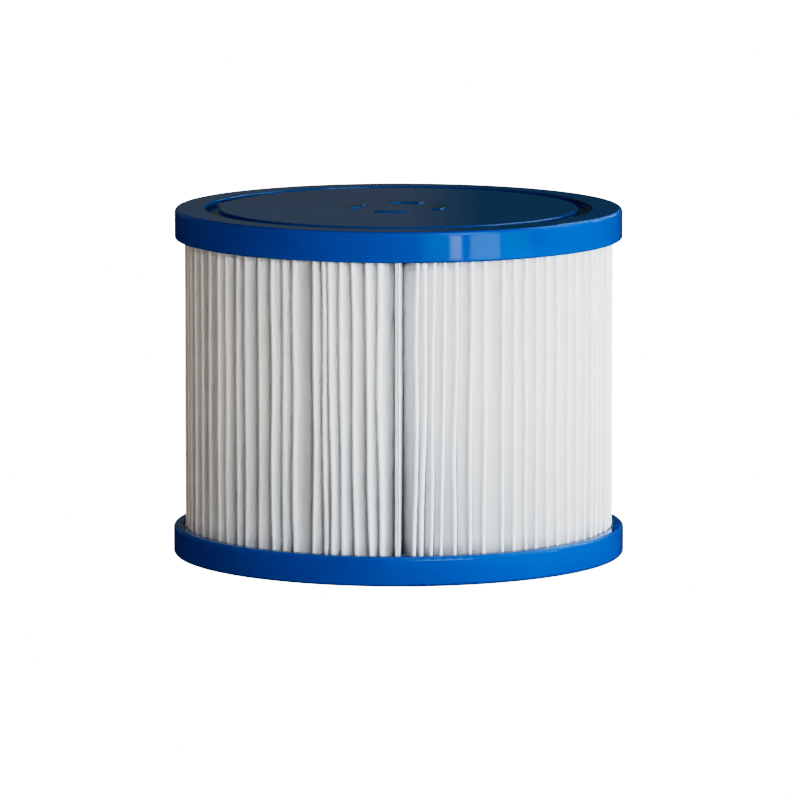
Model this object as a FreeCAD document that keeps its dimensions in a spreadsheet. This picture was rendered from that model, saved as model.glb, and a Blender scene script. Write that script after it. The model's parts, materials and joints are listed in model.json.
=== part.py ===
"""Pleated filter cartridge for an inflatable spa, as a parametric FreeCAD document in millimetres.

The cartridge stands on its mouth end. The origin is the centre of its underside and +Z runs up its axis.
A strip of non-woven media is folded into radial pleats round a perforated core. Both ends of the pleats and
of the core are potted in dished end caps. The top cap is closed. The bottom cap has the mouth, with a short
spigot inside that locates the core, and a flat gasket round it underneath. Nothing on it moves.
"""
import FreeCAD, Part
import Sketcher
import math
import os

from FreeCAD import Placement, Rotation, Vector

DRIVING = [
    ("overall_height", 84.0, "underside to top"),
    ("cap_radius", 54.0, "outside of the top cap"),
    ("skirt_wall", 1.8, "wall of the top cap's skirt"),
    ("foot_flare", 0.5, "how much wider the bottom cap is, all round"),
    ("top_skirt_depth", 7.3, "side height of the top cap"),
    ("bottom_skirt_depth", 7.1, "side height of the bottom cap"),
    ("plate_thickness", 2.4, "flat plate of a cap"),
    ("edge_round", 0.9, "outer edge of a cap's flat face"),
    ("lip_round", 0.45, "outer edge of a skirt's lip"),
    ("ring_groove_inner", 43.3, "inner radius of the ring groove"),
    ("ring_groove_width", 3.4, "width of the ring groove"),
    ("ring_groove_depth", 1.2, "depth of the ring groove"),
    ("groove_edge_round", 0.35, "edges of the ring groove"),
    ("mark_ring_radius", 10.5, "middle of the four arc marks"),
    ("mark_width", 2.2, "radial width of a mark"),
    ("mark_rise", 0.25, "height of a mark above the disc"),
    ("mark_round", 0.15, "top edges of a mark"),
    ("mark_sweep", 42.0, "degrees that one mark covers"),
    ("mark_turn", 10.0, "degrees that the ring of marks is turned"),
    ("mark_count", 4, "marks in the ring"),
    ("mouth_radius", 21.0, "bore of the mouth"),
    ("mouth_chamfer", 0.5, "lead-in at the mouth"),
    ("underside_recess", 0.6, "middle of the underside above the resting rim"),
    ("spigot_wall", 1.3, "wall of the rings that locate the core"),
    ("spigot_top", 9.0, "top of the bottom spigot above the underside"),
    ("locating_ring_depth", 4.0, "length of the top cap's locating ring"),
    ("core_bore_radius", 22.4, "inside of the core"),
    ("core_wall", 1.8, "wall of the core"),
    ("window_columns", 12, "windows round the core"),
    ("window_rows", 6, "windows up the core"),
    ("window_width", 9.2, "width of a window"),
    ("window_height", 9.0, "height of a window"),
    ("window_pitch", 11.6, "from one row of windows to the next"),
    ("potting_below_lip", 0.6, "potting's surface inside the skirt's lip"),
    ("glue_gap", 0.1, "radial gap between parts that adhesive joins"),
    ("pleat_count", 90, "pleats, the seam's fin among them"),
    ("media_radius", 51.9, "over the crests of the pleats"),
    ("media_root_radius", 24.5, "inside the roots of the pleats"),
    ("media_thickness", 0.45, "the non-woven strip"),
    ("crest_bend", 0.4, "bend at a crest, at mid thickness"),
    ("root_bend", 0.35, "bend at a root, at mid thickness"),
    ("seam_glue", 0.3, "adhesive between the two ends of the strip"),
    ("seam_bond_width", 12.0, "how far in from its end the strip is glued"),
    ("seam_setback", 0.3, "end of the strip behind the crests"),
    ("seam_turn", -0.3, "degrees that the seam stands off the front"),
    ("gasket_inner", 22.2, "inner radius of the gasket"),
    ("gasket_outer", 27.6, "outer radius of the gasket"),
    ("gasket_thickness", 1.2, "thickness of the gasket"),
    ("gasket_recess", 1.0, "depth of the gasket's seat"),
    ("gasket_play", 0.15, "gap round the gasket in its seat"),
    ("gasket_round", 0.2, "edges of the gasket"),
]

# Sizes that follow from the driving ones.
DERIVED = [
    ("skirt_bore", "cap_radius - skirt_wall"),
    ("foot_radius", "cap_radius + foot_flare"),
    ("ring_groove_outer", "ring_groove_inner + ring_groove_width"),
    ("top_lip", "overall_height - top_skirt_depth"),
    ("ceiling", "overall_height - plate_thickness"),
    ("floor_top", "underside_recess + plate_thickness"),
    ("ring_outer", "mouth_radius + spigot_wall"),
    ("core_radius", "core_bore_radius + core_wall"),
    ("potting_inner", "core_radius + glue_gap"),
    ("potting_outer", "skirt_bore - glue_gap"),
    ("media_bottom", "bottom_skirt_depth - potting_below_lip"),
    ("media_top", "top_lip + potting_below_lip"),
    ("media_height", "media_top - media_bottom"),
    ("mark_half_width", "mark_width / 2"),
    ("window_half_width", "window_width / 2"),
    ("window_stack", "(window_rows - 1) * window_pitch + window_height"),
    ("window_start", "(floor_top + ceiling - window_stack) / 2"),
]

FULL_TURN = 360.0


def make_sheet(doc):
    """The spreadsheet that drives every size, one row per value."""
    sheet = doc.addObject("Spreadsheet::Sheet", "Sizes")
    for row, (alias, value, meaning) in enumerate(DRIVING, start=1):
        sheet.set(f"A{row}", alias)
        sheet.set(f"B{row}", str(value))
        sheet.setAlias(f"B{row}", alias)
        sheet.set(f"C{row}", meaning)
    for row, (alias, formula) in enumerate(DERIVED, start=len(DRIVING) + 1):
        sheet.set(f"A{row}", alias)
        sheet.set(f"B{row}", "=" + formula)
        sheet.setAlias(f"B{row}", alias)
    doc.recompute()
    return sheet


def bound(formula, sheet):
    """A formula in the sheet's aliases, as an expression that another object can hold."""
    words = formula.replace("(", " ( ").replace(")", " ) ").split()
    return " ".join(f"Sizes.{word}" if hasattr(sheet, word) else word for word in words)


def origin_item(body, role):
    """The origin plane or axis of a body that has this role."""
    return next(item for item in body.Origin.OriginFeatures if item.Role == role)


def new_body(doc, label):
    """An empty PartDesign body whose label names the sub-part."""
    body = doc.addObject("PartDesign::Body", label)
    body.Label = label
    return body


def outline_sketch(body, sheet, name, loops, offset=None):
    """A sketch, upright through the axis, of closed straight-sided loops.

    Each corner is a pair of formulas in the sheet's aliases: the radius and the height.
    """
    sketch = body.newObject("Sketcher::SketchObject", name)
    sketch.AttachmentSupport = [(origin_item(body, "XZ_Plane"), "")]
    sketch.MapMode = "FlatFace"
    if offset is not None:
        sketch.AttachmentOffset = offset
    for corners in loops:
        places = [Vector(corner_value(u, sheet), corner_value(v, sheet), 0) for u, v in corners]
        first = sketch.GeometryCount
        for here, there in zip(places, places[1:] + places[:1]):
            sketch.addGeometry(Part.LineSegment(here, there), False)
        for number, corner in enumerate(corners):
            before = first + (number - 1) % len(corners)
            sketch.addConstraint(Sketcher.Constraint("Coincident", before, 2, first + number, 1))
            pin_corner(sketch, sheet, first + number, corner)
    return sketch


def corner_value(formula, sheet):
    """The number that a corner's formula has now."""
    names = {word: float(getattr(sheet, word)) for word in formula.split() if hasattr(sheet, word)}
    total, sign = 0.0, 1.0
    for word in formula.split():
        if word in "+-":
            sign = 1.0 if word == "+" else -1.0
            continue
        total += sign * (names[word] if word in names else float(word))
        sign = 1.0
    return total


def pin_corner(sketch, sheet, line, corner):
    """Hold a line's start point at its two formulas, measured from the sketch's origin."""
    for formula, distance, axis in zip(corner, ("DistanceX", "DistanceY"), (-2, -1)):
        value = corner_value(formula, sheet)
        if formula == "0":
            sketch.addConstraint(Sketcher.Constraint("PointOnObject", line, 1, axis))
            continue
        index = sketch.addConstraint(Sketcher.Constraint(distance, -1, 1, line, 1, value))
        sketch.setExpression(f"Constraints[{index}]", bound(formula, sheet))


def revolve(body, sketch, name, kind="PartDesign::Revolution"):
    """Turn a profile once round +Z, to add material or, as a groove, to take it away."""
    turned = body.newObject(kind, name)
    turned.Profile = sketch
    turned.ReferenceAxis = (sketch, ["V_Axis"])
    turned.Angle = FULL_TURN
    return turned


def circles_at(feature, places):
    """The names of a feature's full circles about +Z that have one of these (radius, height) places."""
    near = 1e-4
    found = []
    for number, edge in enumerate(feature.Shape.Edges, start=1):
        curve = edge.Curve
        if not isinstance(curve, Part.Circle) or math.hypot(curve.Center.x, curve.Center.y) > near:
            continue
        if any(abs(curve.Radius - r) < near and abs(curve.Center.z - z) < near for r, z in places):
            found.append(f"Edge{number}")
    return found


def soften(doc, body, name, places, size, kind="PartDesign::Fillet"):
    """Round or chamfer the circular edges at the given places by the sheet's value called size."""
    doc.recompute()
    base = body.Tip
    edges = circles_at(base, places)
    if len(edges) != len(places):
        raise RuntimeError(f"{name}: {len(edges)} of {len(places)} edges found")
    feature = body.newObject(kind, name)
    feature.Base = (base, edges)
    feature.setExpression("Radius" if kind.endswith("Fillet") else "Size", f"Sizes.{size}")
    return feature


def make_top_cap(doc, sheet):
    """Closed cap: plate, skirt, locating ring for the core, ring groove and a ring of four arc marks."""
    body = new_body(doc, "top_end_cap")
    corners = [
        ("0", "overall_height"),
        ("cap_radius", "overall_height"),
        ("cap_radius", "top_lip"),
        ("skirt_bore", "top_lip"),
        ("skirt_bore", "ceiling"),
        ("ring_outer", "ceiling"),
        ("ring_outer", "ceiling - locating_ring_depth"),
        ("mouth_radius", "ceiling - locating_ring_depth"),
        ("mouth_radius", "ceiling"),
        ("0", "ceiling"),
    ]
    revolve(body, outline_sketch(body, sheet, "TopCapProfile", [corners]), "TopCapDish")
    doc.recompute()
    groove = [
        ("ring_groove_inner", "overall_height"),
        ("ring_groove_outer", "overall_height"),
        ("ring_groove_outer", "overall_height - ring_groove_depth"),
        ("ring_groove_inner", "overall_height - ring_groove_depth"),
    ]
    profile = outline_sketch(body, sheet, "TopGrooveProfile", [groove])
    revolve(body, profile, "TopRingGroove", "PartDesign::Groove")
    top = float(sheet.overall_height)
    inner, outer = float(sheet.ring_groove_inner), float(sheet.ring_groove_outer)
    groove_floor = top - float(sheet.ring_groove_depth)
    groove_edges = [(r, z) for r in (inner, outer) for z in (top, groove_floor)]
    soften(doc, body, "TopGrooveRounds", groove_edges, "groove_edge_round")
    soften(doc, body, "TopCapEdgeRound", [(float(sheet.cap_radius), top)], "edge_round")
    soften(doc, body, "TopCapLipRound", [(float(sheet.cap_radius), float(sheet.top_lip))], "lip_round")
    add_marks(doc, body, sheet)
    return body


def add_marks(doc, body, sheet):
    """Four short arc ribs in a ring at the middle of the disc."""
    inner, outer = "mark_ring_radius - mark_half_width", "mark_ring_radius + mark_half_width"
    top = "overall_height + mark_rise"
    section = [(inner, "overall_height"), (outer, "overall_height"), (outer, top), (inner, top)]
    turn = Placement(Vector(), Rotation(Vector(0, 1, 0), -float(sheet.mark_turn)))
    sketch = outline_sketch(body, sheet, "MarkSection", [section], offset=turn)
    mark = revolve(body, sketch, "ArcMark")
    mark.setExpression("Angle", "Sizes.mark_sweep")
    mark.Midplane = True
    doc.recompute()
    ring = body.newObject("PartDesign::PolarPattern", "ArcMarkRing")
    ring.Originals = [mark]
    ring.Axis = (origin_item(body, "Z_Axis"), [""])
    ring.Angle = FULL_TURN
    ring.setExpression("Occurrences", "Sizes.mark_count")
    body.Tip = ring
    doc.recompute()
    rounds = body.newObject("PartDesign::Fillet", "ArcMarkRounds")
    rounds.Base = (ring, edges_at_height(ring, corner_value(top, sheet)))
    rounds.setExpression("Radius", "Sizes.mark_round")
    doc.recompute()


def edges_at_height(feature, height):
    """The names of a feature's edges that lie level at this height."""
    near = 1e-4
    return [
        f"Edge{number}"
        for number, edge in enumerate(feature.Shape.Edges, start=1)
        if abs(edge.BoundBox.ZMin - height) < near and abs(edge.BoundBox.ZMax - height) < near
    ]


def make_bottom_cap(doc, sheet):
    """Open cap: resting rim, ring groove, recessed middle, gasket seat, mouth, and spigot for the core."""
    body = new_body(doc, "bottom_end_cap")
    corners = [
        ("mouth_radius", "underside_recess"),
        ("ring_groove_inner", "underside_recess"),
        ("ring_groove_inner", "ring_groove_depth"),
        ("ring_groove_outer", "ring_groove_depth"),
        ("ring_groove_outer", "0"),
        ("foot_radius", "0"),
        ("foot_radius", "bottom_skirt_depth"),
        ("skirt_bore", "bottom_skirt_depth"),
        ("skirt_bore", "floor_top"),
        ("ring_outer", "floor_top"),
        ("ring_outer", "spigot_top"),
        ("mouth_radius", "spigot_top"),
    ]
    revolve(body, outline_sketch(body, sheet, "BottomCapProfile", [corners]), "BottomCapDish")
    doc.recompute()
    seat = [
        ("gasket_inner - gasket_play", "underside_recess"),
        ("gasket_outer + gasket_play", "underside_recess"),
        ("gasket_outer + gasket_play", "underside_recess + gasket_recess"),
        ("gasket_inner - gasket_play", "underside_recess + gasket_recess"),
    ]
    profile = outline_sketch(body, sheet, "GasketSeatProfile", [seat])
    revolve(body, profile, "GasketSeat", "PartDesign::Groove")
    outside, underside = float(sheet.foot_radius), float(sheet.underside_recess)
    groove = [
        (float(sheet.ring_groove_outer), 0.0),
        (float(sheet.ring_groove_outer), float(sheet.ring_groove_depth)),
    ]
    soften(doc, body, "BottomGrooveRounds", groove, "groove_edge_round")
    soften(doc, body, "BottomCapEdgeRound", [(outside, 0.0)], "edge_round")
    lip = [(outside, float(sheet.bottom_skirt_depth))]
    soften(doc, body, "BottomCapLipRound", lip, "edge_round")
    mouth = [(float(sheet.mouth_radius), underside)]
    soften(doc, body, "MouthLeadIn", mouth, "mouth_chamfer", "PartDesign::Chamfer")
    doc.recompute()
    return body


def make_core(doc, sheet):
    """Perforated tube between the two cap plates, with rows of windows cut through its wall."""
    body = new_body(doc, "centre_core")
    wall = [
        ("core_bore_radius", "floor_top"),
        ("core_radius", "floor_top"),
        ("core_radius", "ceiling"),
        ("core_bore_radius", "ceiling"),
    ]
    tube = revolve(body, outline_sketch(body, sheet, "CoreProfile", [wall]), "CoreTube")
    doc.recompute()
    solid_volume = tube.Shape.Volume
    rows = [window_corners(row) for row in range(int(sheet.window_rows))]
    sketch = outline_sketch(body, sheet, "WindowColumn", rows)
    windows = body.newObject("PartDesign::Pocket", "Windows")
    windows.Profile = sketch
    windows.Type = "ThroughAll"
    doc.recompute()
    if windows.Shape.Volume >= solid_volume:
        raise RuntimeError("the windows cut nothing out of the core")
    ring = body.newObject("PartDesign::PolarPattern", "WindowRing")
    ring.Originals = [windows]
    ring.Axis = (origin_item(body, "Z_Axis"), [""])
    ring.Angle = FULL_TURN
    ring.setExpression("Occurrences", "Sizes.window_columns")
    body.Tip = ring
    doc.recompute()
    return body


def window_corners(row):
    """One window of a column, from its middle height. Row 0 is the lowest."""
    low = "window_start" + " + window_pitch" * row
    high = low + " + window_height"
    return [
        ("0 - window_half_width", low),
        ("window_half_width", low),
        ("window_half_width", high),
        ("0 - window_half_width", high),
    ]


def make_potting(doc, label, bottom, depth):
    """A ring of set adhesive in the dish of a cap, round the core and under the pleats."""
    outer = doc.addObject("Part::Cylinder", label + "_fill")
    outer.setExpression("Radius", "Sizes.potting_outer")
    inner = doc.addObject("Part::Cylinder", label + "_hole")
    inner.setExpression("Radius", "Sizes.potting_inner")
    for cylinder in (outer, inner):
        cylinder.setExpression("Height", depth)
        cylinder.setExpression("Placement.Base.z", bottom)
    ring = doc.addObject("Part::Cut", label)
    ring.Base = outer
    ring.Tool = inner
    ring.Label = label
    return ring


def make_gasket(doc, sheet):
    """Flat rubber ring in its seat round the mouth."""
    body = new_body(doc, "mouth_gasket")
    low = "underside_recess + gasket_recess - gasket_thickness"
    high = "underside_recess + gasket_recess"
    section = [
        ("gasket_inner", low),
        ("gasket_outer", low),
        ("gasket_outer", high),
        ("gasket_inner", high),
    ]
    revolve(body, outline_sketch(body, sheet, "GasketSection", [section]), "GasketRing")
    edges = [
        (radius, corner_value(low, sheet))
        for radius in (float(sheet.gasket_inner), float(sheet.gasket_outer))
    ]
    soften(doc, body, "GasketRounds", edges, "gasket_round")
    doc.recompute()
    return body


def polar(radius, angle):
    """A point at this radius. Angle 0 is the front, which is -Y, and angles grow anticlockwise."""
    return Vector(radius * math.sin(angle), -radius * math.cos(angle), 0)


def tangent_points(crest, crest_radius, root, root_radius, side):
    """Where the straight flank leaves the crest's bend and meets the root's bend, which turn opposite ways.

    side is 1 for the flank on the clockwise side of the crest and -1 for the other.
    """
    along = root - crest
    lean = math.asin((crest_radius + root_radius) / along.Length)
    direction = along.normalize()
    across = Vector(direction.y, -direction.x, 0) * side
    normal = across * math.cos(lean) + direction * math.sin(lean)
    return crest + normal * crest_radius, root - normal * root_radius


def media_face(sheet, offset):
    """One face of the folded strip as edges, offset from its mid thickness; positive is the outer face."""
    count = int(sheet.pleat_count)
    pitch = 2 * math.pi / count
    start = math.radians(float(sheet.seam_turn))
    half = float(sheet.media_thickness) / 2
    crest_bend, root_bend = float(sheet.crest_bend), float(sheet.root_bend)
    crest_at = float(sheet.media_radius) - crest_bend - half
    root_at = float(sheet.media_root_radius) + root_bend + half
    crest_radius, root_radius = crest_bend + offset, root_bend - offset
    edges, here = [], None
    for number in range(count):
        root_angle = start + (number + 0.5) * pitch
        root = polar(root_at, root_angle)
        before = polar(crest_at, start + number * pitch)
        after = polar(crest_at, start + (number + 1) * pitch)
        leave, meet = tangent_points(before, crest_radius, root, root_radius, 1)
        follow, reach = tangent_points(after, crest_radius, root, root_radius, -1)
        if number == 0:
            leave, meet = seam_flap(sheet, offset, root, root_radius, 1)
        if number == count - 1:
            follow, reach = seam_flap(sheet, offset, root, root_radius, -1)
        if here is not None:
            crest_tip = polar(crest_at + crest_radius, start + number * pitch)
            edges.append(Part.Arc(here, crest_tip, leave).toShape())
        root_tip = polar(root_at - root_radius, root_angle)
        edges.append(Part.LineSegment(leave, meet).toShape())
        edges.append(Part.Arc(meet, root_tip, reach).toShape())
        edges.append(Part.LineSegment(reach, follow).toShape())
        here = follow
    return edges


def seam_flap(sheet, offset, root, root_radius, side):
    """The end flap of the strip: it lies flat on the seam's adhesive and leaves the root's bend as a tangent."""
    turn = math.radians(float(sheet.seam_turn))
    outward = polar(1.0, turn)
    across = Vector(-outward.y, outward.x, 0) * side
    half = float(sheet.media_thickness) / 2
    gap = float(sheet.seam_glue) / 2 + half + offset
    end = outward * (float(sheet.media_radius) - float(sheet.seam_setback)) + across * gap
    away = root - end
    lean = math.asin(root_radius / away.Length)
    direction = away.normalize()
    sideways = Vector(-direction.y, direction.x, 0) * side
    normal = sideways * math.cos(lean) - direction * math.sin(lean)
    return end, root + normal * root_radius


def make_media(doc, sheet):
    """The folded strip: its outer face one way round, its inner face back, and a short end at each flap."""
    half = float(sheet.media_thickness) / 2
    outer, inner = media_face(sheet, half), media_face(sheet, -half)
    ends = [
        Part.LineSegment(outer[0].Vertexes[0].Point, inner[0].Vertexes[0].Point).toShape(),
        Part.LineSegment(outer[-1].Vertexes[-1].Point, inner[-1].Vertexes[-1].Point).toShape(),
    ]
    wire = Part.Wire(Part.__sortEdges__(outer + inner + ends))
    media = doc.addObject("Part::Feature", "pleated_media")
    media.Label = "pleated_media"
    media.Shape = Part.Face(wire).extrude(Vector(0, 0, float(sheet.media_height)))
    media.Placement = Placement(Vector(0, 0, float(sheet.media_bottom)), Rotation())
    return media


def make_seam(doc, sheet):
    """The film of adhesive between the two end flaps of the strip."""
    strip = doc.addObject("Part::Box", "seam_bond_strip")
    strip.Label = "seam_bond_strip"
    strip.setExpression("Length", "Sizes.seam_glue")
    strip.setExpression("Width", "Sizes.seam_bond_width")
    strip.setExpression("Height", "Sizes.media_height")
    turn = Rotation(Vector(0, 0, 1), float(sheet.seam_turn))
    corner = Vector(-float(sheet.seam_glue) / 2, float(sheet.seam_setback) - float(sheet.media_radius), 0)
    base = turn.multVec(corner) + Vector(0, 0, float(sheet.media_bottom))
    strip.Placement = Placement(base, turn)
    return strip


def check_and_write(doc, parts):
    """Stop on any failed object, then write one STEP file per sub-part."""
    doc.recompute()
    failed = [item.Name for item in doc.Objects if {"Invalid", "Error"} & set(item.State)]
    if failed:
        raise RuntimeError(f"failed objects: {failed}")
    for part in parts:
        if part.Shape.isNull() or not part.Shape.isValid():
            raise RuntimeError(f"{part.Label} has no valid shape")
    os.makedirs("parts", exist_ok=True)
    for part in parts:
        part.Shape.exportStep(f"parts/{part.Label}.step")
        box = part.Shape.BoundBox
        print(
            f"{part.Label}: {len(part.Shape.Solids)} solid, {part.Shape.Volume:.1f} mm3,"
            f" z {box.ZMin:.2f} to {box.ZMax:.2f}, x {box.XMin:.2f} to {box.XMax:.2f}"
        )


def main():
    doc = FreeCAD.newDocument("FilterCartridge")
    sheet = make_sheet(doc)
    parts = [
        make_top_cap(doc, sheet),
        make_bottom_cap(doc, sheet),
        make_media(doc, sheet),
        make_seam(doc, sheet),
        make_core(doc, sheet),
        make_potting(doc, "top_potting", "Sizes.media_top", "Sizes.ceiling - Sizes.media_top"),
        make_potting(doc, "bottom_potting", "Sizes.floor_top", "Sizes.media_bottom - Sizes.floor_top"),
        make_gasket(doc, sheet),
    ]
    check_and_write(doc, parts)


main()
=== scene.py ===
import json
import math
import random

import bpy
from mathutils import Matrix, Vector


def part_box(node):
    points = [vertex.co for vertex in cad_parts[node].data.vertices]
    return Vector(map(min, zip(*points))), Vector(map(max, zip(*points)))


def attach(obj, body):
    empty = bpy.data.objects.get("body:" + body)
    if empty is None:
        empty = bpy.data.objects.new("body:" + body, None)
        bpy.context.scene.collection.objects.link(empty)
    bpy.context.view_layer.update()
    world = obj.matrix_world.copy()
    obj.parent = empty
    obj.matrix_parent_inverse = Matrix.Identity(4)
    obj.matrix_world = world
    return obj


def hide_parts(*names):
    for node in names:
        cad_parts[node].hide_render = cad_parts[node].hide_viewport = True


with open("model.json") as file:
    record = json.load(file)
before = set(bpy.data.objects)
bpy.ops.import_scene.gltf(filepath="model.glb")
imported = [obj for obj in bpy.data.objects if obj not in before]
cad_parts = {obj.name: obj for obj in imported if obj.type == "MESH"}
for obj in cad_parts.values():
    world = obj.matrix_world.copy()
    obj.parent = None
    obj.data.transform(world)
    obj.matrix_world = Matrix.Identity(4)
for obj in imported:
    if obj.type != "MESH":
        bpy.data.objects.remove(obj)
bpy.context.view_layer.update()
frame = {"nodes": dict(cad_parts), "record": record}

MM = 0.001

# The camera, fitted to the photograph's outlines: millimetres, degrees and metres.
LENS = 328.8
SENSOR_WIDTH = 36.0
CLIP_START, CLIP_END = 0.05, 50.0
CAMERA_ELEVATION = 7.83
CAMERA_DISTANCE = 1.769
CAMERA_AIM = Vector((0.00034, 0.0, 0.037))

# Lights. Azimuth 0 is the front (-Y) and 90 is +X. Angles are in degrees, lengths in metres.
MIDDLE = Vector((0.0, 0.0, 0.042))
WHITE = (1.0, 1.0, 1.0)
COOL, HALF_COOL, WARM = (0.94, 0.98, 1.0), (0.96, 0.985, 1.0), (1.0, 0.74, 0.5)
LILAC, PALE, CYAN = (1.0, 0.8, 0.89), (1.0, 0.93, 1.0), (0.05, 1.0, 0.6)
# Soft boxes that shade the object but aren't mirrored: azimuth, elevation, distance, size,
# radiance, colour.
SOFT_BOXES = {
    "key": (66, 7, 1.5, (1.4, 0.35), 20.5, COOL),
    "front_fill": (18, 9, 1.5, (0.8, 0.3), 17.5, HALF_COOL),
    "left_wash": (-48, 6, 1.5, (0.8, 0.3), 2.6, COOL),
    "left_fill": (-88, 4, 1.5, (1.0, 0.3), 5.0, WARM),
    "back_fill_left": (-143, 27, 1.8, (1.2, 0.8), 2.6, WHITE),
    "back_fill_right": (143, 27, 1.8, (1.2, 0.8), 2.6, WHITE),
}
# Upright panes, mirrored in the caps' sides, with a soft glow on each side: azimuth, width,
# radiance, colour.
PANES = {
    "pane_narrow": (27.8, 0.05, 4.4, LILAC),
    "pane_wide": (42.7, 0.138, 2.3, PALE),
    "glow_left": (18.5, 0.12, 0.9, CYAN),
    "glow_right": (59.5, 0.14, 0.9, CYAN),
}
PANE_MIDDLE = Vector((0.0, 0.0, 0.04))
PANE_DISTANCE = 0.5
PANE_HEIGHT = 0.075
# Higher windows, mirrored in the caps' rounded edges: azimuth, width, radiance.
WINDOWS = {
    "window_front": (37, 0.24, 3.0),
    "window_side": (97, 0.05, 4.0),
    "window_far": (125, 0.08, 4.0),
    "window_back": (146, 0.06, 3.0),
}
WINDOW_ELEVATION = 35
WINDOW_DISTANCE = 0.6
WINDOW_HEIGHT = 0.4
# Walls behind, mirrored in the flat top: a dim one, and a browner stack in front of its left part,
# whose right edges are stepped so that the brown fades out.
WALL_PLACE = Vector((0.0, 2.6, 0.6))
WALL_SIZE = (3.2, 1.0)
WALL_RADIANCE, WALL_COLOUR = 0.039, (0.28, 1.0, 0.62)
BROWN_STEPS = 5
BROWN_X, BROWN_STEP_X = -0.791, 0.009
BROWN_Y, BROWN_STEP_Y = 2.5, 0.01
BROWN_SIZE = (1.6, 1.0)
BROWN_RADIANCE, BROWN_COLOUR = 0.0134, (1.0, 0.58, 0.24)
# The world as the camera sees it, and as it lights the object.
BACKDROP_STRENGTH = 3.0
AMBIENT = (0.022, 0.021, 0.02, 1.0)

# The picture's response: scene brightness against shown brightness, with a short toe and a long
# shoulder, so that white paper in strong light keeps its shading.
RESPONSE_WHITE = 2.5
RESPONSE = (
    (0.0, 0.0), (0.02, 0.004), (0.05, 0.024), (0.12, 0.092), (0.22, 0.21), (0.35, 0.36),
    (0.55, 0.545), (0.75, 0.66), (0.95, 0.72), (1.2, 0.765), (1.5, 0.81), (2.0, 0.9), (2.5, 1.0),
)
ALL_CHANNELS = 3
# Light goes many times to and fro between white pleats.
DIFFUSE_BOUNCES = 12
ALL_BOUNCES = 16

# The ring groove in the top cap's face: its middle, half its width, and how far from its middle
# its duller finish and painted shade are full and where they end.
GROOVE_RADIUS = 45.0 * MM
GROOVE_HALF = 1.7 * MM
GROOVE_DULL_AND_SHADE = GROOVE_HALF - 0.1 * MM
GROOVE_CLEAR = GROOVE_HALF + 0.5 * MM
# The marks on the top: the dull finish comes in between these heights over the disc.
MARKS_CLEAR, MARKS_DULL = 0.01 * MM, 0.05 * MM
# Rims show rubbing and a painted highlight within the first distance from their edge, and are clean
# beyond the second.
RIM_RUBBED_AND_HIGHLIGHT, RIM_CLEAN = 0.5 * MM, 1.3 * MM
# The bottom cap's lip stands this much above the foot of the media.
LIP_OVER_MEDIA = 0.6 * MM
# Painted shade on the media is full at the first height, and gone above the second.
FOOT_SHADE_FULL, FOOT_SHADE_GONE = 0.005, 0.055
# Bundles of fibres in the media: direction in degrees, and fineness.
FIBRES = ((12, 1.0), (74, 0.8), (-48, 1.15), (-14, 0.9))
# The colour sockets of Blender's Mix node.
MIX_FIRST, MIX_SECOND, MIX_RESULT = 6, 7, 2

# The pleated strip. Crests are named by their angle round the axis, in degrees from the front
# (-Y), growing towards +X. The seam's fin takes the place of one crest.
SEED = 7
PLEATS = 90
PITCH = 360.0 / PLEATS
MEDIA_THICKNESS = 0.45 * MM
CREST_BEND = 0.3 * MM
ROOT_BEND = 0.35 * MM
CORE_CLEARANCE = 0.3 * MM
SEAM_ANGLE = -0.3
SEAM_GLUE = 0.3 * MM
SEAM_SETBACK = 0.3 * MM
# Mesh rows over the height, points along a flank by their share of its depth, and points round
# each bend.
HEIGHT_STEPS = 18
FLANK_SHARES = (0.0, 0.015, 0.03, 0.045, 0.06, 0.08, 0.12, 0.18, 0.3, 1.0)
ROOT_POINTS = 3
CREST_POINTS = 5
# The pressed part of a flank beside its crest, and where its bow starts to run out, as shares of
# its depth.
FOLD_SHARE = 0.06
ROOT_SPREAD = 0.3
# How far a root moves towards the middle between its crests.
ROOT_FOLLOWS = 0.35
# Gaps from each crest to the next, in mean pitches, going away from the seam on each side, and
# the range of the gaps out of sight.
GAPS_RIGHT = (1.3, 0.55, 0.6, 0.7, 0.8, 1.0, 1.0, 1.3, 0.85, 0.9, 0.9, 0.95, 1.0, 1.2, 0.9, 1.1)
GAPS_LEFT = (
    1.25, 0.8, 0.95, 0.8, 0.7, 0.45, 0.7, 1.45, 0.8, 0.85, 1.1, 1.2, 0.9, 1.2, 0.8, 1.3, 1.2, 1.1,
)
GAPS_HIDDEN = (0.75, 1.25)
# A crest's irregularities: how far it stands back in millimetres, its bend in mean bends, and its
# drift over the height in waves (size in degrees, turns over the height).
SETBACK = (0.0, 0.4)
BEND_RANGE = (0.85, 1.3)
DRIFT_WAVES = 2
DRIFT_SIZE, DRIFT_RATE = (0.04, 0.2), (0.5, 1.7)
# Crests beside the seam are drawn towards it at the foot: by this much at this angle from it.
GATHER_MOST = 1.1
GATHER_PEAK = 10.0
# Inside its crests a valley's flanks bow towards each other. Going round from the seam: how many
# valleys, and for them the ranges of the first flank's part in the bow, how much of the gap it
# closes, at what share of the depth, and how round it is (1 is a straight slope, less is hollow).
# The seam's fin stands straight, and the pleats beside it lean up to it.
BOWS = (
    (1, (0.25, 0.25), (0.9, 0.9), (0.26, 0.26), (0.7, 0.7)),
    (15, (0.0, 0.2), (0.9, 0.97), (0.06, 0.12), (1.3, 2.0)),
    (50, (0.1, 0.9), (0.8, 0.96), (0.06, 0.2), (0.7, 1.5)),
    (10, (0.4, 0.6), (0.95, 0.98), (0.012, 0.025), (1.0, 1.3)),
    (13, (0.9, 1.0), (0.975, 0.985), (0.045, 0.07), (0.5, 0.7)),
    (1, (1.0, 1.0), (0.95, 0.95), (0.11, 0.11), (0.5, 0.5)),
)
# How the closing varies over the height, and its limit.
CLOSING_SIZE, CLOSING_RATE = (0.003, 0.02), (0.3, 1.0)
FILL_MOST = 0.985
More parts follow.
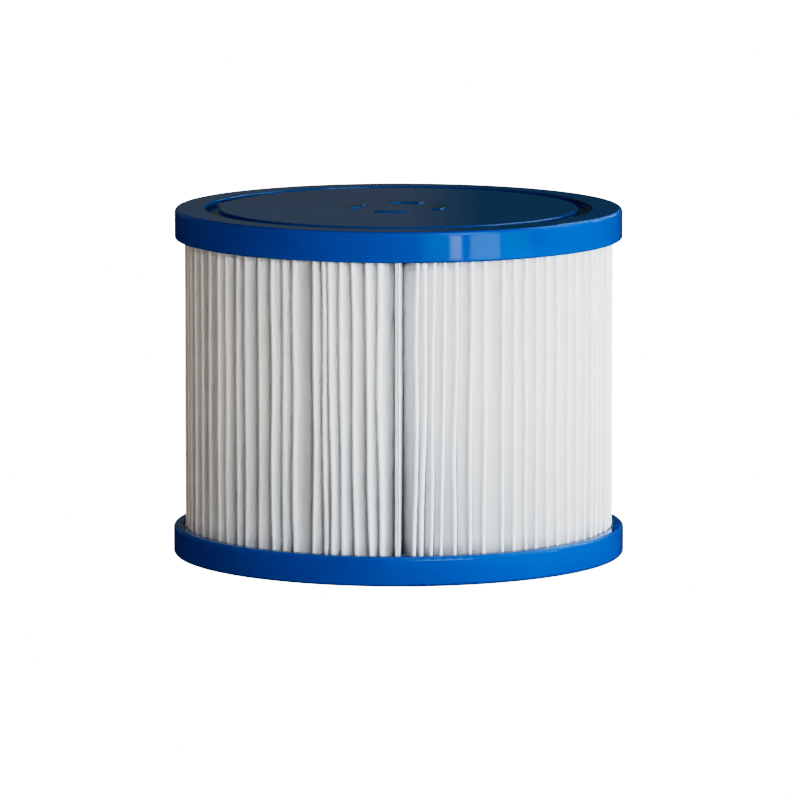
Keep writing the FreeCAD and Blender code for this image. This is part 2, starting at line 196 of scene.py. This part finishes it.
# The tone of the seam's two flaps, which have no crest of their own.
FLAP_TONE = 0.5
# Two directions count as one above this cosine.
SAME_DIRECTION = 0.999999

# The floor reaches this far from the object each way. It glows, so that no shadow shows on it.
FLOOR_REACH = 10.0
FLOOR_GLOW = 2.8


# ---------------------------------------------------------------- camera and light

def add_object(name, data):
    thing = bpy.data.objects.new(name, data)
    bpy.context.scene.collection.objects.link(thing)
    return thing


def bearing(azimuth, elevation):
    """Unit vector towards an azimuth and an elevation."""
    a, e = math.radians(azimuth), math.radians(elevation)
    return Vector((math.sin(a) * math.cos(e), -math.cos(a) * math.cos(e), math.sin(e)))


def make_camera():
    data = bpy.data.cameras.new("front_camera")
    data.lens = LENS
    data.sensor_width = SENSOR_WIDTH
    data.clip_start = CLIP_START
    data.clip_end = CLIP_END
    camera = add_object("front_camera", data)
    back = bearing(0.0, CAMERA_ELEVATION)
    camera.location = CAMERA_AIM + back * CAMERA_DISTANCE
    camera.rotation_euler = back.to_track_quat("Z", "Y").to_euler()
    bpy.context.scene.camera = camera


def panel_light(name, place, size, radiance, colour=WHITE, aim=MIDDLE, matt=False, gloss=False):
    """A soft box of that size at that place, facing the aim, hidden from the camera. It lights
    matt surfaces, or is mirrored in glossy ones, or both."""
    data = bpy.data.lights.new(name, "AREA")
    data.shape = "RECTANGLE"
    data.size, data.size_y = size
    data.energy = radiance * math.pi * size[0] * size[1]
    data.color = colour
    lamp = add_object(name, data)
    lamp.location = place
    lamp.rotation_euler = (place - aim).to_track_quat("Z", "Y").to_euler()
    lamp.visible_camera = False
    lamp.visible_diffuse = matt
    lamp.visible_glossy = gloss


def make_lights():
    for name, (azimuth, elevation, distance, size, radiance, colour) in SOFT_BOXES.items():
        place = MIDDLE + bearing(azimuth, elevation) * distance
        panel_light(name, place, size, radiance, colour, matt=True)
    for name, (azimuth, width, radiance, colour) in PANES.items():
        place = PANE_MIDDLE + bearing(azimuth, 0) * PANE_DISTANCE
        panel_light(name, place, (width, PANE_HEIGHT), radiance, colour, PANE_MIDDLE, gloss=True)
    for name, (azimuth, width, radiance) in WINDOWS.items():
        place = MIDDLE + bearing(azimuth, WINDOW_ELEVATION) * WINDOW_DISTANCE
        panel_light(name, place, (width, WINDOW_HEIGHT), radiance, gloss=True)
    make_walls()


def make_walls():
    """What the flat top mirrors at a low angle. The walls face the front squarely."""
    ahead = Vector((0.0, 1.0, 0.0))
    place = WALL_PLACE
    panel_light("wall", place, WALL_SIZE, WALL_RADIANCE, WALL_COLOUR, place - ahead, gloss=True)
    for step in range(BROWN_STEPS):
        x = BROWN_STEP_X * step + BROWN_X
        place = Vector((x, BROWN_Y - BROWN_STEP_Y * step, WALL_PLACE.z))
        name = f"wall_left_{step}"
        panel_light(name, place, BROWN_SIZE, BROWN_RADIANCE, BROWN_COLOUR, place - ahead, gloss=True)


def make_world():
    world = bpy.data.worlds.new("studio")
    bpy.context.scene.world = world
    world.use_nodes = True
    tree = world.node_tree
    seen = tree.nodes.new("ShaderNodeBackground")
    seen.inputs["Color"].default_value = (*WHITE, 1.0)
    seen.inputs["Strength"].default_value = BACKDROP_STRENGTH
    dim = tree.nodes["Background"]
    dim.inputs["Color"].default_value = AMBIENT
    path = tree.nodes.new("ShaderNodeLightPath")
    mix = tree.nodes.new("ShaderNodeMixShader")
    tree.links.new(path.outputs["Is Camera Ray"], mix.inputs[0])
    tree.links.new(dim.outputs[0], mix.inputs[1])
    tree.links.new(seen.outputs[0], mix.inputs[2])
    tree.links.new(mix.outputs[0], tree.nodes["World Output"].inputs[0])


def set_response():
    scene = bpy.context.scene
    scene.view_settings.view_transform = "Standard"
    scene.view_settings.use_curve_mapping = True
    mapping = scene.view_settings.curve_mapping
    mapping.white_level = (RESPONSE_WHITE,) * 3
    mapping.extend = "HORIZONTAL"
    curve = mapping.curves[ALL_CHANNELS]
    curve.points[0].location = RESPONSE[0]
    curve.points[1].location = (1.0, RESPONSE[-1][1])
    for light, shown in RESPONSE[1:-1]:
        curve.points.new(light / RESPONSE_WHITE, shown)
    mapping.update()
    scene.cycles.diffuse_bounces = DIFFUSE_BOUNCES
    scene.cycles.max_bounces = ALL_BOUNCES


# ---------------------------------------------------------------- materials

class Recipe:
    """A node material under construction, with short ways to add and join its nodes."""

    def __init__(self, name, **uniform):
        self.material = bpy.data.materials.new(name)
        self.material.use_nodes = True
        self.tree = self.material.node_tree
        self.shader = self.tree.nodes["Principled BSDF"]
        for socket, value in uniform.items():
            self.shader.inputs[socket.replace("_", " ")].default_value = value

    def node(self, kind, inputs=None, **settings):
        made = self.tree.nodes.new("ShaderNode" + kind)
        for key, value in settings.items():
            setattr(made, key, value)
        for key, value in (inputs or {}).items():
            self.feed(made.inputs[key], value)
        return made

    def feed(self, socket, value):
        """A number, colour or output goes into the socket."""
        if isinstance(value, bpy.types.NodeSocket):
            self.tree.links.new(value, socket)
        else:
            socket.default_value = value

    def set(self, **sockets):
        for socket, value in sockets.items():
            self.feed(self.shader.inputs[socket.replace("_", " ")], value)

    def place(self):
        """Position on the object, in metres."""
        return self.node("TexCoord").outputs["Object"]

    def attribute(self, name, output="Fac"):
        return self.node("Attribute", attribute_name=name).outputs[output]

    def math(self, operation, a, b=0.0, c=0.0):
        made = self.node("Math", operation=operation)
        for socket, value in zip(made.inputs, (a, b, c)):
            self.feed(socket, value)
        return made.outputs[0]

    def stretch(self, vector, scale, turn=0.0):
        """The vector turned in its first two axes by degrees, and scaled."""
        inputs = {"Vector": vector, "Angle": math.radians(turn)}
        turned = self.node("VectorRotate", inputs, rotation_type="Z_AXIS").outputs[0]
        return self.node("VectorMath", {0: turned, 1: scale}, operation="MULTIPLY").outputs[0]

    def noise(self, vector, scale, detail=3.0, roughness=0.5, distortion=0.0):
        inputs = {"Vector": vector, "Scale": scale, "Detail": detail}
        inputs |= {"Roughness": roughness, "Distortion": distortion}
        return self.node("TexNoise", inputs).outputs["Fac"]

    def cells(self, vector, scale):
        """Distance from the nearest of many scattered points."""
        inputs = {"Vector": vector, "Scale": scale}
        return self.node("TexVoronoi", inputs, feature="F1").outputs["Distance"]

    def remap(self, value, low, high, to_low=0.0, to_high=1.0):
        """The value eased from one range to another, and held at the ends."""
        inputs = {"Value": value, "From Min": low, "From Max": high}
        inputs |= {"To Min": to_low, "To Max": to_high}
        return self.node("MapRange", inputs, interpolation_type="SMOOTHSTEP").outputs["Result"]

    def blend(self, share, first, second):
        made = self.node("Mix", data_type="RGBA")
        self.feed(made.inputs["Factor"], share)
        for index, colour in ((MIX_FIRST, first), (MIX_SECOND, second)):
            linked = isinstance(colour, bpy.types.NodeSocket)
            self.feed(made.inputs[index], colour if linked else (*colour, 1.0))
        return made.outputs[MIX_RESULT]

    def bump(self, height, depth, below=None):
        """Relief of that depth in metres, laid over the relief below."""
        inputs = {"Height": height, "Distance": depth, "Strength": 1.0}
        if below is not None:
            inputs["Normal"] = below
        return self.node("Bump", inputs).outputs["Normal"]


def frame_height(mount):
    """Height of a mount of the part, from its record."""
    return next(m["pos_m"][2] for m in frame["record"]["mounts"] if m["name"] == mount)


def ring_distance(recipe, rings):
    """Distance from the nearest of some circles about the axis, each (radius, height)."""
    parts = recipe.node("SeparateXYZ", {0: recipe.place()}).outputs
    flat = recipe.node("CombineXYZ", {0: parts[0], 1: parts[1]}).outputs[0]
    radius = recipe.node("VectorMath", {0: flat}, operation="LENGTH").outputs["Value"]
    nearest = None
    for ring_radius, ring_height in rings:
        across = recipe.math("SUBTRACT", radius, ring_radius)
        along = recipe.math("SUBTRACT", parts[2], ring_height)
        both = recipe.node("CombineXYZ", {0: across, 1: along}).outputs[0]
        gap = recipe.node("VectorMath", {0: both}, operation="LENGTH").outputs["Value"]
        nearest = gap if nearest is None else recipe.math("MINIMUM", nearest, gap)
    return nearest


def cap_plastic():
    """Glossy cobalt moulding: flow marks, orange peel, fine rubbing, softened rims with a painted
    highlight in lighter blue, duller marks, and a duller groove darkened by painted shade."""
    top_low, top_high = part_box("top_end_cap")
    bottom_low, bottom_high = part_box("bottom_end_cap")
    disc = frame_height("top_disc")
    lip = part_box("pleated_media")[0][2] + LIP_OVER_MEDIA
    dark_blue, blue = (0.0, 0.102, 0.362), (0.0, 0.116, 0.404)
    # The third colour is painted shade in the groove and a duller finish on the marks, and the
    # fourth a painted highlight on the rims.
    shade_and_dull_blue, painted_highlight_blue = (0.004, 0.075, 0.185), (0.03, 0.2, 0.5)
    r = Recipe("cap_plastic", IOR=1.5)
    flow = r.noise(r.stretch(r.place(), (1, 1, 2.5)), 28, detail=4, distortion=0.6)
    colour = r.blend(r.remap(flow, 0.35, 0.65), dark_blue, blue)
    groove = r.remap(ring_distance(r, [(GROOVE_RADIUS, disc)]), GROOVE_CLEAR, GROOVE_DULL_AND_SHADE)
    height = r.node("SeparateXYZ", {0: r.place()}).outputs[2]
    marks = r.remap(height, disc + MARKS_CLEAR, disc + MARKS_DULL)
    # The groove's darker colour is painted shade in the recess; on the marks it is a duller finish.
    dull_and_shade = r.math("MAXIMUM", groove, marks)
    colour = r.blend(dull_and_shade, colour, shade_and_dull_blue)
    rims = [(top_high[0], top_low[2]), (top_high[0], disc)]
    rims += [(bottom_high[0], bottom_low[2]), (bottom_high[0], lip)]
    edge = r.remap(ring_distance(r, rims), RIM_CLEAN, RIM_RUBBED_AND_HIGHLIGHT)
    rubbed_and_highlight = r.math("MULTIPLY", edge, r.remap(r.noise(r.place(), 900, detail=5), 0.45, 0.7))
    # Painted highlight: a lighter blue along the rims, broken by noise. The same mask also roughens
    # the rims.
    colour = r.blend(r.math("MULTIPLY", rubbed_and_highlight, 0.08), colour, painted_highlight_blue)
    smear = r.noise(r.stretch(r.place(), (1, 1, 6)), 110, detail=6, roughness=0.6)
    hairs = r.noise(r.stretch(r.place(), (60, 2600, 2600), 17), 1.0, detail=2)
    hairs = r.remap(hairs, 0.68, 0.78)
    rough = r.remap(smear, 0.3, 0.7, 0.06, 0.1)
    for part, amount in ((edge, 0.1), (rubbed_and_highlight, 0.03), (hairs, 0.05), (dull_and_shade, 0.06)):
        rough = r.math("MULTIPLY_ADD", part, amount, rough)
    peel = r.bump(r.noise(r.place(), 420, detail=2), 0.006 * MM)
    scratches = r.bump(r.math("SUBTRACT", 1.0, hairs), 0.0015 * MM, peel)
    r.set(Base_Color=colour, Roughness=rough, Normal=scratches)
    return r.material


def filter_media():
    """White spun polyester: cloudy, fibrous and translucent, pressed smoother along its folds, and
    darkened by painted shade towards the foot. Its noise follows the flat strip, not the folds."""
    dark_white, white = (0.95, 0.962, 0.97), (0.975, 0.984, 0.99)
    # The last colour here is painted shade for the foot of the media.
    fibre_white, painted_foot_shade = (0.985, 0.99, 0.995), (0.75, 0.768, 0.786)
    r = Recipe(
        "filter_media", Subsurface_Weight=1.0, Subsurface_Scale=0.0006, IOR=1.4,
        Subsurface_Radius=(1.0, 1.0, 1.0), Sheen_Weight=0.12, Sheen_Roughness=0.5,
    )
    paper = r.attribute("paper", "Vector")
    fold = r.attribute("fold")
    cloud = r.noise(paper, 260, detail=4, roughness=0.6)
    fibres = None
    for turn, fine in FIBRES:
        run = r.stretch(paper, (320 * fine, 7000 * fine, 1), turn)
        strands = r.remap(r.noise(run, 1.0, detail=1, distortion=0.4), 0.52, 0.72)
        fibres = strands if fibres is None else r.math("MAXIMUM", fibres, strands)
    tone = r.math("MULTIPLY_ADD", r.attribute("tone"), 0.35, r.math("MULTIPLY", cloud, 0.65))
    colour = r.blend(tone, dark_white, white)
    colour = r.blend(r.math("MULTIPLY", fibres, 0.35), colour, fibre_white)
    height = r.node("SeparateXYZ", {0: paper}).outputs[1]
    # Painted shade: the colour darkens towards the foot.
    colour = r.blend(r.remap(height, FOOT_SHADE_GONE, FOOT_SHADE_FULL), colour, painted_foot_shade)
    felt = r.bump(r.math("MULTIPLY", fibres, r.remap(fold, 0.0, 1.0, 1.0, 0.4)), 0.035 * MM)
    waves = r.bump(cloud, 0.08 * MM, felt)
    r.set(Base_Color=colour, Roughness=r.remap(fold, 0.0, 1.0, 0.85, 0.7), Normal=waves)
    return r.material


def core_plastic():
    """Milky polypropylene: satin, slightly cloudy, with sink marks between its windows."""
    dark_milk, milk = (0.78, 0.79, 0.78), (0.86, 0.865, 0.85)
    r = Recipe(
        "core_plastic", Subsurface_Weight=0.35, Subsurface_Scale=0.0015, IOR=1.49,
        Subsurface_Radius=(1.0, 1.0, 1.0),
    )
    cloud = r.noise(r.place(), 70, detail=4, distortion=0.8)
    colour = r.blend(cloud, dark_milk, milk)
    satin = r.noise(r.place(), 2600, detail=4)
    sink = r.noise(r.stretch(r.place(), (1, 1, 0.4)), 180, detail=1)
    relief = r.bump(satin, 0.004 * MM, r.bump(sink, 0.05 * MM))
    r.set(Base_Color=colour, Roughness=r.remap(satin, 0.3, 0.7, 0.36, 0.5), Normal=relief)
    return r.material


def potting_resin():
    """Cast resin: milky, glossy, tinged by the blue dish it fills, with small bubbles under its
    skin."""
    dark_resin, resin, bubble = (0.4, 0.46, 0.52), (0.48, 0.54, 0.6), (0.34, 0.39, 0.44)
    r = Recipe(
        "potting_resin", Subsurface_Weight=0.3, Subsurface_Scale=0.002, IOR=1.48,
        Subsurface_Radius=(1.0, 0.8, 0.55),
    )
    between = r.remap(r.cells(r.place(), 900), 0.12, 0.3)
    swirl = r.noise(r.place(), 60, detail=5, distortion=1.5)
    colour = r.blend(swirl, dark_resin, resin)
    colour = r.blend(between, bubble, colour)
    relief = r.bump(between, 0.05 * MM, r.bump(swirl, 0.1 * MM))
    r.set(Base_Color=colour, Roughness=r.remap(swirl, 0.3, 0.7, 0.2, 0.34), Normal=relief)
    return r.material


def hot_melt():
    """The glue film in the seam: whitish, uneven and shiny."""
    dark_glue, glue = (0.84, 0.84, 0.8), (0.92, 0.92, 0.9)
    r = Recipe(
        "hot_melt", Subsurface_Weight=0.6, Subsurface_Scale=0.001, IOR=1.5,
        Subsurface_Radius=(1.0, 0.9, 0.7),
    )
    blobs = r.noise(r.stretch(r.place(), (1, 1, 0.5)), 420, detail=3, distortion=1.0)
    colour = r.blend(blobs, dark_glue, glue)
    rough = r.remap(blobs, 0.3, 0.7, 0.2, 0.4)
    r.set(Base_Color=colour, Roughness=rough, Normal=r.bump(blobs, 0.08 * MM))
    return r.material


def gasket_rubber():
    """Black synthetic rubber: matt and grainy, greyed where it rubs, with a little dust."""
    black, dust_grey, worn_grey = (0.018, 0.018, 0.02), (0.12, 0.12, 0.115), (0.06, 0.06, 0.062)
    low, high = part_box("mouth_gasket")
    r = Recipe("gasket_rubber", IOR=1.52, Sheen_Weight=0.1)
    grain = r.noise(r.place(), 5200, detail=4)
    dust = r.remap(r.noise(r.place(), 800, detail=6, roughness=0.7), 0.56, 0.75)
    edge = r.remap(ring_distance(r, [(high[0], low[2])]), 0.8 * MM, 0.15 * MM)
    colour = r.blend(r.math("MULTIPLY", dust, 0.35), black, dust_grey)
    colour = r.blend(r.math("MULTIPLY", edge, 0.4), colour, worn_grey)
    rough = r.remap(dust, 0.0, 1.0, 0.55, 0.8)
    r.set(Base_Color=colour, Roughness=rough, Normal=r.bump(grain, 0.01 * MM))
    return r.material


def floor_paint():
    """A bright, faintly uneven studio floor."""
    r = Recipe("floor_paint")
    mottle = r.noise(r.place(), 6, detail=3)
    dark_grey, grey = (0.78, 0.78, 0.78), (0.82, 0.82, 0.82)
    colour = r.blend(mottle, dark_grey, grey)
    r.set(Base_Color=colour, Roughness=r.remap(mottle, 0.3, 0.7, 0.85, 0.95))
    r.set(Emission_Color=(*WHITE, 1.0), Emission_Strength=FLOOR_GLOW)
    return r.material


def finish_nodes():
    """Each CAD node that stays takes its material."""
    plastic, resin = cap_plastic(), potting_resin()
    finishes = {
        "top_end_cap": plastic,
        "bottom_end_cap": plastic,
        "top_potting": resin,
        "bottom_potting": resin,
        "centre_core": core_plastic(),
        "seam_bond_strip": hot_melt(),
        "mouth_gasket": gasket_rubber(),
    }
    for name, finish in finishes.items():
        slots = frame["nodes"][name].data.materials
        slots.clear()
        slots.append(finish)


# ---------------------------------------------------------------- the pleated strip

def draw_wave(rng, size, rate):
    """A wave over the height: its size, its turns over the height and its start."""
    return rng.uniform(*size), rng.uniform(*rate), rng.uniform(0, math.tau)


def wave_at(wave, share):
    """A wave's value at a share of the height, 0 at the foot."""
    size, rate, start = wave
    return size * math.sin(math.tau * rate * share + start)


class Pleat:
    """One crest's angle and its small irregularities."""

    def __init__(self, angle, rng):
        self.angle = angle if angle < 180 else angle - 360
        self.setback = rng.uniform(*SETBACK) * MM
        self.bend = CREST_BEND * rng.uniform(*BEND_RANGE)
        self.waves = [draw_wave(rng, DRIFT_SIZE, DRIFT_RATE) for _ in range(DRIFT_WAVES)]
        self.tone = rng.random()

    def at(self, share):
        """Angle at a share of the height."""
        drift = sum(wave_at(wave, share) for wave in self.waves)
        near = self.angle / GATHER_PEAK
        drawn = GATHER_MOST * near * math.exp(0.5 - near * near / 2) * (1 - share)
        return self.angle + drift - drawn


class Valley:
    """The gap between two neighbouring crests, and how its two flanks bow into it."""

    def __init__(self, rng, bow):
        self.lean, self.fill, self.reach, self.curve = (rng.uniform(low, high) for low, high in bow)
        self.wave = draw_wave(rng, CLOSING_SIZE, CLOSING_RATE)

    def closing(self, share):
        """How much of the gap is closed at a share of the height."""
        return min(FILL_MOST, self.fill + wave_at(self.wave, share))

    def profile(self, depth):
        """The bowing from crest (depth 0) to root (depth 1), as a share of its most."""
        if depth < self.reach:
            return 1 - (1 - depth / self.reach) ** self.curve
        return 1.0 if depth < ROOT_SPREAD else (1 - depth) / (1 - ROOT_SPREAD)


def make_valleys(rng):
    """The valleys in order round the axis, from the seam back to the seam."""
    return [Valley(rng, bow) for count, *bow in BOWS for _ in range(count)]


def make_pleats(rng):
    """The crests in order round the axis, from the seam back to the seam."""
    hidden_count = PLEATS - len(GAPS_LEFT) - len(GAPS_RIGHT)
    hidden = [rng.uniform(*GAPS_HIDDEN) for _ in range(hidden_count)]
    spare = (PLEATS - sum(GAPS_LEFT) - sum(GAPS_RIGHT)) / sum(hidden)
    gaps = [*GAPS_RIGHT, *(gap * spare for gap in hidden), *reversed(GAPS_LEFT)]
    angle = SEAM_ANGLE
    pleats = []
    for gap in gaps[:-1]:
        angle += gap * PITCH
        pleats.append(Pleat(angle, rng))
    return pleats


def polar(radius, degrees):
    a = math.radians(degrees)
    return Vector((radius * math.sin(a), -radius * math.cos(a)))


def turned(vector, side):
    """The vector turned a right angle: clockwise seen from above for side 1."""
    return Vector((vector.y, -vector.x)) * side


def fan(first, middle, last, count):
    """Unit directions evenly inside the turn from first, past middle, to last."""
    directions = []
    for k in range(1, count + 1):
        share = 2.0 * k / (count + 1)
        start, end, part = (first, middle, share) if share < 1 else (middle, last, share - 1)
        if start.dot(end) > SAME_DIRECTION:
            directions.append(start.copy())
        else:
            directions.append(start.slerp(end, part))
    return directions


class Line:
    """The strip's mid-line at one height: each point has the normal of the strip's outer face, how
    much of a crest's fold it has, and its pleat's tone."""

    def __init__(self):
        self.points = []

    def add(self, point, normal, fold, tone):
        self.points.append((point, normal, fold, tone))

    def flank(self, places, normal, tone):
        """A flank's points, given as (place, depth), with depth 0 at the crest and 1 at the root."""
        for place, depth in places:
            self.add(place, normal, max(0.0, 1.0 - depth / FOLD_SHARE), tone)

    def arc(self, centre, radius, directions, outward, tone):
        """A bend's points: outward is 1 at a crest and -1 at a root."""
        fold = 1.0 if outward > 0 else 0.0
        for direction in directions:
            self.add(centre + direction * radius, direction * outward, fold, tone)


def crest_contact(centre, bend, root, side):
    """Where a flank leaves a crest's bend, and its outer normal."""
    along = root - centre
    lean = math.asin((bend + ROOT_BEND) / along.length)
    along.normalize()
    normal = turned(along, side) * math.cos(lean) + along * math.sin(lean)
    return centre + normal * bend, normal


def flap_contact(outer, root, side):
    """Where a flank ends at the seam's fin, and its outer normal."""
    out = polar(1.0, SEAM_ANGLE)
    end = out * (outer - SEAM_SETBACK) - turned(out, side) * (SEAM_GLUE + MEDIA_THICKNESS) / 2
    along = root - end
    lean = math.asin(ROOT_BEND / along.length)
    along.normalize()
    return end, turned(along, side) * math.cos(lean) + along * math.sin(lean)


def bowed(valley, share, near, far):
    """Points of the two flanks of a valley, (place, depth) from crest to root, bowed into the gap.
    Near and far are (crest end, root end, outer normal) of each flank."""
    both = [], []
    parts = valley.lean, 1 - valley.lean
    for depth in FLANK_SHARES:
        spots = [crest_end.lerp(root_end, depth) for crest_end, root_end, _ in (near, far)]
        room = max(0.0, (spots[0] - spots[1]).length - MEDIA_THICKNESS)
        bow = room * valley.closing(share) * valley.profile(depth)
        for points, spot, part, (_, _, normal) in zip(both, spots, parts, (near, far)):
            points.append((spot + normal * bow * part, depth))
    return both


def mid_line(pleats, valleys, share, outer, inner):
    """The strip's mid-line at a share of the height, from one flap of the seam to the other."""
    half = MEDIA_THICKNESS / 2
    angles = [SEAM_ANGLE]
    for pleat in pleats:
        here = pleat.at(share)
        angles.append(here if pleat.angle > SEAM_ANGLE else here + 360)
    angles.append(SEAM_ANGLE + 360)
    roots = []
    for i in range(PLEATS):
        halfway = (angles[i] + angles[i + 1]) / 2
        even = SEAM_ANGLE + (i + 0.5) * PITCH
        roots.append(polar(inner + ROOT_BEND + half, even + (halfway - even) * ROOT_FOLLOWS))
    centres = []
    for pleat, angle in zip(pleats, angles[1:]):
        centres.append(polar(outer - pleat.setback - pleat.bend - half, angle))

    def flank(root, crest, side):
        """(crest end, root end, outer normal) of the flank between a root and a crest or flap."""
        if 0 <= crest < len(pleats):
            end, normal = crest_contact(centres[crest], pleats[crest].bend, roots[root], side)
        else:
            end, normal = flap_contact(outer, roots[root], side)
        return end, roots[root] - normal * ROOT_BEND, normal

    line = Line()
    for i, (root, valley) in enumerate(zip(roots, valleys)):
        near, far = flank(i, i - 1, 1), flank(i, i, -1)
        near_points, far_points = bowed(valley, share, near, far)
        near_tone = pleats[i - 1].tone if i > 0 else FLAP_TONE
        far_tone = pleats[i].tone if i < len(pleats) else FLAP_TONE
        line.flank(near_points, near[2], near_tone)
        turn = fan(-near[2], -root.normalized(), -far[2], ROOT_POINTS)
        line.arc(root, ROOT_BEND, turn, -1, (near_tone + far_tone) / 2)
        line.flank(reversed(far_points), far[2], far_tone)
        if i < len(pleats):
            turn = fan(far[2], centres[i].normalized(), flank(i + 1, i, 1)[2], CREST_POINTS)
            line.arc(centres[i], pleats[i].bend, turn, 1, far_tone)
    return line.points


def strip_mesh(name, lines, heights):
    """A closed sheet from a mid-line at each height: an outer and an inner face and four edges. Its
    attribute paper is the place on the flat strip: along it, up it and through it."""
    half = MEDIA_THICKNESS / 2
    count = len(lines[0])
    vertices, paper, folds, tones = [], [], [], []
    for line, height in zip(lines, heights):
        run = 0.0
        runs = []
        for k, (point, *_) in enumerate(line):
            run += (point - line[k - 1][0]).length if k else 0.0
            runs.append(run)
        for side in (1, -1):
            for (point, normal, fold, tone), run in zip(line, runs):
                spot = point + normal * half * side
                vertices.append((spot.x, spot.y, height))
                paper.extend((run, height, side * half))
                folds.append(fold)
                tones.append(tone)
    ring = 2 * count
    faces = []
    for level in range(len(lines) - 1):
        a, b = level * ring, (level + 1) * ring
        for j in range(count - 1):
            faces.append((a + j, a + j + 1, b + j + 1, b + j))
            faces.append((a + count + j + 1, a + count + j, b + count + j, b + count + j + 1))
        faces.append((a + count, a, b, b + count))
        faces.append((a + count - 1, a + ring - 1, b + ring - 1, b + count - 1))
    top = (len(lines) - 1) * ring
    for j in range(count - 1):
        faces.append((j + 1, j, count + j, count + j + 1))
        faces.append((top + j, top + j + 1, top + count + j + 1, top + count + j))
    mesh = bpy.data.meshes.new(name)
    mesh.from_pydata(vertices, [], faces)
    mesh.attributes.new("paper", "FLOAT_VECTOR", "POINT").data.foreach_set("vector", paper)
    mesh.attributes.new("fold", "FLOAT", "POINT").data.foreach_set("value", folds)
    mesh.attributes.new("tone", "FLOAT", "POINT").data.foreach_set("value", tones)
    mesh.shade_smooth()
    mesh.update()
    return mesh


def make_media():
    low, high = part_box("pleated_media")
    outer = high[0]
    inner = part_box("centre_core")[1][0] + CORE_CLEARANCE
    rng = random.Random(SEED)
    pleats = make_pleats(rng)
    valleys = make_valleys(rng)
    shares = [k / HEIGHT_STEPS for k in range(HEIGHT_STEPS + 1)]
    heights = [low[2] + (high[2] - low[2]) * share for share in shares]
    lines = [mid_line(pleats, valleys, share, outer, inner) for share in shares]
    media = add_object("media_pleats", strip_mesh("media_pleats", lines, heights))
    media.data.materials.append(filter_media())
    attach(media, "root")
    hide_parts("pleated_media")


def make_floor():
    """A wide plain floor under the object. It lights nothing and isn't mirrored."""
    corners = ((-1, -1), (1, -1), (1, 1), (-1, 1))
    places = [(x * FLOOR_REACH, y * FLOOR_REACH, 0.0) for x, y in corners]
    mesh = bpy.data.meshes.new("studio_floor")
    mesh.from_pydata(places, [], [(0, 1, 2, 3)])
    floor = add_object("studio_floor", mesh)
    floor.data.materials.append(floor_paint())
    floor.visible_diffuse = False
    floor.visible_glossy = False


make_camera()
make_lights()
make_world()
set_response()
finish_nodes()
make_media()
make_floor()
